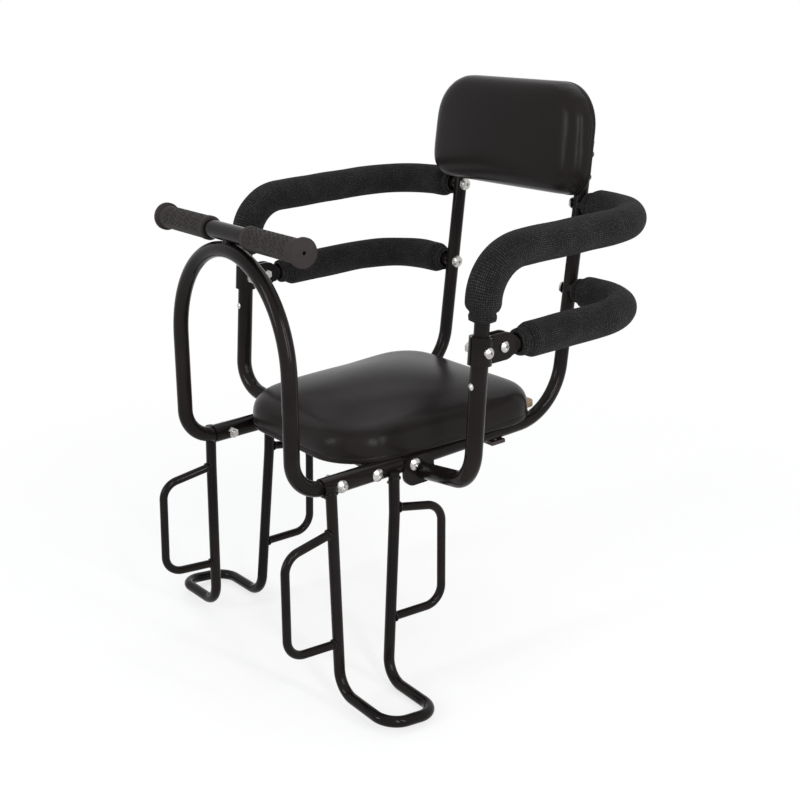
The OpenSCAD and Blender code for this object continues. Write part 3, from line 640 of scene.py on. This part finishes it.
class BIKESEAT_OT_sleeves(bpy.types.Operator):
    """Draws the knitted foam sleeves over the armrests and side bars"""

    bl_idname = "bike_seat.sleeves"
    bl_label = "Add Knitted Sleeves"

    # From each end inwards: a rounded lip, the cuff, the neck that the elastic
    # draws in, and the shoulder that opens to the full sleeve
    lip = 1.8
    cuff_end = 8
    neck = 9.5
    shoulder = 9
    neck_dip = 1.5
    cuff_bulge = 0.7
    gathers = 13

    post_cuff_drop = 62
    post_bend = 48
    arm_bend = 70
    bar_start = 44
    bar_bend = 66

    def execute(self, context):
        seat = context.scene.bike_seat
        full, cuff = seat.sleeve_radius / MM, seat.cuff_radius / MM
        bore = ARM_D / 2 + 0.4
        waist = cuff - self.neck_dip

        def radius_at(s, total):
            near = min(s, total - s)
            if near < self.lip:
                return bore + (cuff - bore) * min(1, 0.3 + 0.7 * math.sqrt(max(0, near) / self.lip))
            if near < self.cuff_end:
                share = (near - self.lip) / (self.cuff_end - self.lip)
                return cuff + self.cuff_bulge * math.sin(share * math.pi)
            if near < self.neck:
                share = (near - self.cuff_end) / (self.neck - self.cuff_end)
                return cuff - self.neck_dip * math.sin(share * math.pi / 2)
            if near < self.neck + self.shoulder:
                share = (near - self.neck) / self.shoulder
                return waist + (full - waist) * math.sqrt(1 - (1 - share) ** 2)
            return full

        arm_z, bar_z = RAIL_Z + ARM_H, RAIL_Z + BAR_H
        stop = UPRIGHT_X + RAIL_R + 5
        lines = {
            "armrest_foam": (
                [
                    post_axis(ARM_H - self.post_cuff_drop),
                    post_axis(ARM_H),
                    Vector((POST_X, upright_y(arm_z), arm_z)),
                    Vector((stop, upright_y(arm_z), arm_z)),
                ],
                [0, self.post_bend, self.arm_bend, 0],
            ),
            "side_bar_foam": (
                [
                    Vector((POST_X, post_axis(CLAMP_H).y + self.bar_start, bar_z)),
                    Vector((POST_X, upright_y(bar_z), bar_z)),
                    Vector((stop, upright_y(bar_z), bar_z)),
                ],
                [0, self.bar_bend, 0],
            ),
        }
        for base, (corners, bends) in lines.items():
            for side, label in ((1, "left"), (-1, "right")):
                bm, total = swept_sleeve(corners, bends, radius_at)
                self.crease(bm, total, seed=7.0 * side + len(base))
                if side < 0:
                    bmesh.ops.scale(bm, vec=(-1, 1, 1), verts=bm.verts)
                bmesh.ops.recalc_face_normals(bm, faces=bm.faces)
                name = f"{base}_{label}"
                piece = new_piece(f"{name}_sleeve", bm, finish_of("knit"))
                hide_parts(name)
        return {"FINISHED"}

    def crease(self, bm, total, seed):
        """Gathers at the cuffs, a fold inside the rear bend and a slight unevenness."""
        along = bm.verts.layers.float["along"]
        turn = bm.verts.layers.float["round"]
        inner = bm.verts.layers.float["inner"]
        bend = bm.verts.layers.float["bend"]
        moves = []
        for vert in bm.verts:
            s, angle = vert[along], vert[turn] * math.tau
            near = min(s, total - s)
            lump = noise.noise(vert.co * 0.028 + Vector((seed, 0, 0))) * 0.7
            uneven = 2 * noise.noise(Vector((seed, math.cos(angle), math.sin(angle))))
            at_neck = max(0.0, 1 - abs(near - self.neck) / self.shoulder)
            gather = 0.35 * at_neck * math.sin(self.gathers * angle + uneven)
            fold = 0.0
            if s > total * 0.5:
                fold = 2.2 * vert[inner] ** 2 * max(0.0, 1 - abs(vert[bend] - 0.5) * 7)
            moves.append((vert, -0.4 + lump + gather - fold if near > 2 else 0.0))
        for vert, distance in moves:
            vert.co += vert.normal * distance


class BIKESEAT_OT_cushions(bpy.types.Operator):
    """Blows up the seat and backrest cushions and sews their lower hem"""

    bl_idname = "bike_seat.cushions"
    bl_label = "Add Cushions"

    # Outlines: half width at each end, length, and the corners' radius at each end
    seat_outline = (109.5, 125, 260, 58, 56)
    seat_thick = 41.5
    seat_at = (0, -82.5, 19.45)
    back_outline = (123.5, 120.5, 120.5, 28, 49)
    back_thick = 38.0
    back_over_bar = (0, -7.95, 98.5)
    rim = 18
    hem_inset = 1.4
    hem_height = 7.6
    hem_round = 2.6

    # The board's rear end, which shows behind the seat cushion
    tail_outline = (90, 90, 26, 3, 9)
    tail_thick = 6.4
    tail_at = (0, 161.5, 20.4)

    def execute(self, context):
        bar_z = RAIL_Z + BAR_H
        on_seat = Matrix.Translation(self.seat_at)
        on_uprights = (
            Matrix.Translation((0, upright_y(bar_z), bar_z))
            @ Matrix.Rotation(-UPRIGHT_LEAN, 4, "X")
            @ Matrix.Translation(self.back_over_bar)
            @ Matrix.Rotation(math.radians(90), 4, "X")
        )
        for node, outline, thick, place in (
            ("seat_cushion", self.seat_outline, self.seat_thick, on_seat),
            ("backrest_cushion", self.back_outline, self.back_thick, on_uprights),
        ):
            pad = self.blown_pad(context, node, outline, thick, place)
            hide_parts(node)
            bm = self.slab(outline, -self.hem_inset, self.hem_height)
            self.round_rims(bm, self.hem_round, 5)
            bmesh.ops.transform(bm, matrix=place, verts=bm.verts)
            hem = new_piece(f"{node}_hem", bm, finish_of("leather"))
        bm = self.slab(self.tail_outline, 0, self.tail_thick)
        self.round_rims(bm, 0.6, 2)
        bmesh.ops.translate(bm, verts=bm.verts, vec=self.tail_at)
        new_piece("seat_board_tail", bm, finish_of("plywood"), smooth=False)
        return {"FINISHED"}

    def slab(self, outline, grow, height):
        """A slab with the outline of a pad: a trapezoid with rounded corners."""
        half1, half2, length, corner1, corner2 = outline
        bm = bmesh.new()
        ends = [
            bm.verts.new((-half1 - grow, -grow, 0)),
            bm.verts.new((half1 + grow, -grow, 0)),
            bm.verts.new((half2 + grow, length + grow, 0)),
            bm.verts.new((-half2 - grow, length + grow, 0)),
        ]
        bm.faces.new(ends)
        bm.verts.ensure_lookup_table()
        for pair, radius in ((ends[:2], corner1), (ends[2:], corner2)):
            bmesh.ops.bevel(
                bm, geom=pair, offset=radius + grow, offset_type="OFFSET", segments=14,
                profile=0.5, affect="VERTICES", material=-1,
            )
        made = bmesh.ops.extrude_face_region(bm, geom=bm.faces[:])["geom"]
        top = [g for g in made if isinstance(g, bmesh.types.BMVert)]
        bmesh.ops.translate(bm, verts=top, vec=(0, 0, height))
        bmesh.ops.recalc_face_normals(bm, faces=bm.faces)
        return bm

    def round_rims(self, bm, radius, segments, top_only=False):
        """Rounds a slab's rims."""
        high = max(v.co.z for v in bm.verts)
        rim = [e for e in bm.edges if abs(e.verts[0].co.z - e.verts[1].co.z) < MERGE]
        if top_only:
            rim = [e for e in rim if e.verts[0].co.z > high - MERGE]
        bmesh.ops.bevel(
            bm, geom=rim, offset=radius, offset_type="OFFSET", segments=segments,
            profile=0.5, affect="EDGES", material=-1,
        )

    def blown_pad(self, context, node, outline, thick, place):
        """A crowned block of foam, swollen as tight cloth, above the board's wrapped edge."""
        seat = context.scene.bike_seat
        pad = self.foam_block(context, node, outline, thick, seat.seat_crown / MM)
        rest = [vert.co.copy() for vert in pad.data.vertices]
        self.fill_cover(context, pad)
        self.even_out(pad, rest, seat.swell, place)
        soft = pad.modifiers.new("soften", "SUBSURF")
        soft.levels = soft.render_levels = 1
        return pad

    def foam_block(self, context, node, outline, thick, crown):
        """A slab with a rounded upper rim, remeshed, whose middle rises to the crown."""
        rise = thick - crown - 2
        bm = self.slab(outline, -0.6, rise)
        self.round_rims(bm, self.rim, 10, top_only=True)
        bmesh.ops.recalc_face_normals(bm, faces=bm.faces)
        pad = new_piece(f"{node}_cover", bm, finish_of("leather"))
        context.view_layer.objects.active = pad
        remesh = pad.modifiers.new("voxels", "REMESH")
        remesh.mode = "VOXEL"
        remesh.voxel_size = 0.0045
        self.apply(context, pad, remesh.name)
        half, length = max(outline[:2]), outline[2]
        foot = 8
        for vert in pad.data.vertices:
            x, y, z = vert.co / MM
            u, v = x / half, 2 * y / length - 1
            lift = max(0.0, (z - foot) / (rise - foot)) * max(0.0, 1 - u * u) * max(0.0, 1 - v * v)
            vert.co.z += lift * crown * MM
        return pad

    def fill_cover(self, context, pad):
        """Blows the cover up as tight cloth that is sewn down along its foot."""
        sewn = [vert.index for vert in pad.data.vertices if vert.co.z < 0.0075]
        pad.vertex_groups.new(name="base").add(sewn, 1.0, "REPLACE")
        cloth = pad.modifiers.new("cloth", "CLOTH")
        cloth.settings.quality = 6
        cloth.settings.mass = 0.4
        cloth.settings.tension_stiffness = 40
        cloth.settings.compression_stiffness = 40
        cloth.settings.bending_stiffness = 10
        cloth.settings.use_pressure = True
        cloth.settings.uniform_pressure_force = 4
        cloth.settings.vertex_group_mass = "base"
        cloth.settings.effector_weights.gravity = 0
        cloth.collision_settings.use_collision = False
        for number in range(1, 21):
            context.scene.frame_set(number)
        self.apply(context, pad, cloth.name)
        context.scene.frame_set(1)

    def even_out(self, pad, rest, limit, place):
        """Limits and smooths how far the cover moved, and takes the pad to its place."""
        swell = [vert.co - before for vert, before in zip(pad.data.vertices, rest)]
        swell = [move.normalized() * min(move.length, limit) for move in swell]
        bm = bmesh.new()
        bm.from_mesh(pad.data)
        beside = [[edge.other_vert(vert).index for edge in vert.link_edges] for vert in bm.verts]
        for _ in range(40):
            swell = [
                (move + sum((swell[i] for i in near), Vector())) / (len(near) + 1)
                for move, near in zip(swell, beside)
            ]
        for vert, before, move in zip(bm.verts, rest, swell):
            vert.co = before + move
        for _ in range(9):
            bmesh.ops.smooth_vert(
                bm, verts=bm.verts, factor=0.5, use_axis_x=True, use_axis_y=True, use_axis_z=True,
            )
        for vert in bm.verts:
            vert.co.z = max(vert.co.z, 0)
        to_mm, to_m = Matrix.Diagonal((1000, 1000, 1000, 1)), Matrix.Diagonal((MM, MM, MM, 1))
        bmesh.ops.transform(bm, matrix=to_m @ place @ to_mm, verts=bm.verts)
        bm.to_mesh(pad.data)
        bm.free()
        pad.data.shade_smooth()

    def apply(self, context, piece, name):
        """Makes a modifier's result the piece's own mesh."""
        with context.temp_override(object=piece, active_object=piece, selected_objects=[piece]):
            bpy.ops.object.modifier_apply(modifier=name)


class BIKESEAT_OT_grips(bpy.types.Operator):
    """Turns the ribbed rubber grips"""

    bl_idname = "bike_seat.grips"
    bl_label = "Add Grips"

    body_r = 11.7
    ring_r = 12.2
    flange_r = 14.3
    hole_r = 1.8
    pitch = 2.9
    steps = 60

    def execute(self, context):
        low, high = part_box("grip_left")
        axis = Vector((0, (low.y + high.y) / 2 / MM, (low.z + high.z) / 2 / MM))
        start = low.x / MM
        end = high.x / MM - start
        bore, hole = HANDLE_D / 2 + 0.05, self.hole_r
        body, ring, flange = self.body_r, self.ring_r, self.flange_r
        tread = [10.5 + self.pitch * i for i in range(int((end - 21) / self.pitch))]
        profile = [
            (0, bore), (0, ring - 0.8), (0.8, ring), (6.4, ring),
            (7.2, body - 0.5), (8.4, body - 0.5), (9.2, body),
            *((at, body) for at in tread),
            (end - 8, body), (end - 7.2, body - 0.7), (end - 5.4, body - 0.7),
            (end - 4.6, flange), (end - 1.4, flange), (end - 0.4, flange - 0.5), (end, flange - 1.4),
            (end, 3.4), (end - 0.4, 2.4), (end - 0.6, hole), (end - 2.5, hole),
            (end - 2.5, bore), (0, bore),
        ]
        for side, label in ((1, "left"), (-1, "right")):
            bm = turned(profile, self.steps, axis + Vector((side * start, 0, 0)), Vector((side, 0, 0)))
            self.cut_tread(bm, side, start, axis, tread)
            piece = new_piece(f"grip_{label}_rubber", bm, finish_of("rubber"))
            piece.data.set_sharp_from_angle(angle=math.radians(38))
            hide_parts(f"grip_{label}")
        return {"FINISHED"}

    def cut_tread(self, bm, side, start, axis, tread):
        """Sinks slanting rows of short notches into the grip's upper side."""
        notches = []
        for face in bm.faces:
            middle = face.calc_center_median()
            along = side * middle.x - start
            middle = Vector((0, middle.y, middle.z)) - axis
            if not tread[0] < along < tread[-1] or abs(middle.length - self.body_r) > 0.3:
                continue
            row = round((along - tread[0]) / self.pitch - 0.5)
            step = math.atan2(middle.y, middle.z) / math.tau * self.steps
            if abs(step) < 17 and math.floor(step + 1.5 * row) % 4 < 2 and row % 5 != 4:
                notches.append(face)
        bmesh.ops.inset_region(bm, faces=notches, thickness=0.25, depth=-0.55, use_even_offset=True)


class BIKESEAT_OT_welds(bpy.types.Operator):
    """Lays the weld beads where the legs meet their sleeves"""

    bl_idname = "bike_seat.welds"
    bl_label = "Add Weld Beads"

    ring_r = 6.0
    bead_r = 1.5
    below_rail = 5.5
    tilt = math.radians(35)

    def execute(self, context):
        lean = Matrix.Translation((0, BOLT_Y, RAIL_Z)) @ Matrix.Rotation(-LEG_LEAN, 4, "X")
        for side, label in ((1, "left"), (-1, "right")):
            for back, place in ((LEG_FRONT, "front"), (LEG_FRONT + LEG_PITCH, "rear")):
                start = lean @ Vector((side * LEG_X, back, -self.below_rail))
                bead = new_piece(f"leg_{label}_{place}_weld", self.bead(start, side), finish_of("enamel"))
        return {"FINISHED"}

    def bead(self, start, side):
        """A lumpy ring of weld round a leg, tilted along the sleeve's curve."""
        bm = bmesh.new()
        across = Matrix.Translation(start + Vector((0, self.ring_r, 0))) @ Matrix.Rotation(math.pi / 2, 4, "Y")
        bmesh.ops.create_circle(bm, cap_ends=False, segments=10, radius=self.bead_r, matrix=across)
        spun(bm, start, (0, 0, 1), 40)
        for vert in bm.verts:
            turn = math.atan2(vert.co.x - start.x, vert.co.y - start.y)
            vert.co += vert.normal * (0.4 * math.sin(9 * turn) + 0.4 * noise.noise(vert.co * 0.35))
        bmesh.ops.rotate(bm, verts=bm.verts, cent=start, matrix=Matrix.Rotation(-side * self.tilt, 3, "Y"))
        return bm


class BIKESEAT_OT_stage(bpy.types.Operator):
    """Sets the pale floor, the soft lamps and the camera"""

    bl_idname = "bike_seat.stage"
    bl_label = "Set the Stage"

    # Name, place, point aimed at, width and height, and power
    lamps = (
        ("key_softbox", (1.9, -0.5, 0.95), (0, 0.05, 0.15), (0.24, 1.2), 16),
        ("second_softbox", (1.75, 0.3, 0.8), (0, 0.05, 0.2), (0.12, 1.2), 10),
        ("front_fill", (-0.3, -2.1, 1.0), (0, 0, 0.1), (0.4, 1.0), 14),
        ("top_softbox", (-0.5, 0.9, 1.9), (0, 0, 0), (1.6, 1.6), 9),
    )

    def execute(self, context):
        self.floor()
        self.world(context)
        for lamp in self.lamps:
            self.softbox(context, *lamp)
        self.camera(context)
        context.scene.view_settings.view_transform = "Standard"
        return {"FINISHED"}

    def eye_ray(self, nodes, links):
        """1 for camera, glossy and transmission rays, 0 for the rest."""
        path = nodes.new("ShaderNodeLightPath")
        seen = math_node(nodes, links, "MAXIMUM", path.outputs["Is Camera Ray"], path.outputs["Is Glossy Ray"])
        return math_node(nodes, links, "MAXIMUM", seen, path.outputs["Is Transmission Ray"])

    def floor(self):
        """A pale floor that keeps a faint shadow and turns to the room's white further out."""
        material, shader = new_material("pale_floor")
        shader.inputs["Base Color"].default_value = (0.93, 0.93, 0.93, 1)
        shader.inputs["Roughness"].default_value = 0.9
        nodes, links = nodes_of(material)
        where = nodes.new("ShaderNodeTexCoord")
        away = nodes.new("ShaderNodeVectorMath")
        away.operation = "LENGTH"
        links.new(where.outputs["Object"], away.inputs[0])
        fade = nodes.new("ShaderNodeMapRange")
        fade.interpolation_type = "SMOOTHSTEP"
        fade.inputs["From Min"].default_value = 0.45
        fade.inputs["From Max"].default_value = 1.1
        fade.inputs["To Min"].default_value = 0.7
        links.new(away.outputs["Value"], fade.inputs["Value"])
        white = nodes.new("ShaderNodeEmission")
        mix = nodes.new("ShaderNodeMixShader")
        share = math_node(nodes, links, "MULTIPLY", fade.outputs["Result"], self.eye_ray(nodes, links))
        links.new(share, mix.inputs[0])
        links.new(shader.outputs[0], mix.inputs[1])
        links.new(white.outputs[0], mix.inputs[2])
        links.new(mix.outputs[0], nodes["Material Output"].inputs["Surface"])
        bm = bmesh.new()
        bmesh.ops.create_grid(bm, x_segments=1, y_segments=1, size=9)
        bmesh.ops.translate(bm, verts=bm.verts, vec=(0, 0, CAD_BOX[0].z - 0.0005))
        mesh = bpy.data.meshes.new("floor")
        bm.to_mesh(mesh)
        bm.free()
        mesh.materials.append(material)
        floor = bpy.data.objects.new("floor", mesh)
        bpy.context.scene.collection.objects.link(floor)

    def world(self, context):
        """A plain pale room that the eye, and what mirrors it, sees white."""
        world = bpy.data.worlds.new("pale_room")
        world.use_nodes = True
        context.scene.world = world
        nodes, links = world.node_tree.nodes, world.node_tree.links
        plain = nodes["Background"]
        plain.inputs["Color"].default_value = (0.9, 0.92, 0.95, 1)
        plain.inputs["Strength"].default_value = 0.72
        bright = nodes.new("ShaderNodeBackground")
        bright.inputs["Color"].default_value = (1, 1, 1, 1)
        bright.inputs["Strength"].default_value = 1.0
        mix = nodes.new("ShaderNodeMixShader")
        links.new(self.eye_ray(nodes, links), mix.inputs[0])
        links.new(plain.outputs[0], mix.inputs[1])
        links.new(bright.outputs[0], mix.inputs[2])
        links.new(mix.outputs[0], nodes["World Output"].inputs["Surface"])

    def softbox(self, context, name, place, aim, size, power):
        """A rectangular area lamp aimed at a point."""
        light = bpy.data.lights.new(name, "AREA")
        light.shape = "RECTANGLE"
        light.size, light.size_y = size
        light.energy = power
        lamp = bpy.data.objects.new(name, light)
        lamp.location = place
        lamp.rotation_euler = (Vector(aim) - Vector(place)).to_track_quat("-Z", "Y").to_euler()
        context.scene.collection.objects.link(lamp)

    def camera(self, context):
        """The camera from which the photograph was taken."""
        data = bpy.data.cameras.new("photo_camera")
        data.sensor_width = 36.0
        data.lens = 60.402
        data.shift_x, data.shift_y = -0.00067, -0.0012
        data.clip_start, data.clip_end = 0.05, 60
        right = Vector((0.598, 0.80008, -0.04755))
        up = Vector((-0.23042, 0.22844, 0.9459))
        back = Vector((0.76766, -0.5547, 0.32096))
        turn = Matrix((right, up, back)).transposed().to_4x4()
        eye = bpy.data.objects.new("photo_camera", data)
        eye.matrix_world = Matrix.Translation((1.13821, -0.75416, 0.51059)) @ turn
        context.scene.collection.objects.link(eye)
        context.scene.camera = eye


class BIKESEAT_PT_panel(bpy.types.Panel):
    """Lists the seat's pieces, its stage and its settings"""

    bl_idname = "BIKESEAT_PT_panel"
    bl_label = "Rear Child Bike Seat"
    bl_space_type = "VIEW_3D"
    bl_region_type = "UI"
    bl_category = "Bike Seat"

    def draw(self, context):
        for operator in OPERATORS:
            self.layout.operator(operator.bl_idname)
        for name in BikeSeatSettings.__annotations__:
            self.layout.prop(context.scene.bike_seat, name)


OPERATORS = (
    BIKESEAT_OT_frame_finish,
    BIKESEAT_OT_sleeves,
    BIKESEAT_OT_cushions,
    BIKESEAT_OT_grips,
    BIKESEAT_OT_welds,
    BIKESEAT_OT_stage,
)
CLASSES = (BikeSeatSettings, *OPERATORS, BIKESEAT_PT_panel)


def register():
    for cls in CLASSES:
        bpy.utils.register_class(cls)
    bpy.types.Scene.bike_seat = PointerProperty(type=BikeSeatSettings)


def unregister():
    del bpy.types.Scene.bike_seat
    for cls in reversed(CLASSES):
        bpy.utils.unregister_class(cls)


def main():
    register()
    bpy.ops.bike_seat.frame_finish()
    bpy.ops.bike_seat.sleeves()
    bpy.ops.bike_seat.cushions()
    bpy.ops.bike_seat.grips()
    bpy.ops.bike_seat.welds()
    bpy.ops.bike_seat.stage()


if __name__ == "__main__":
    main()
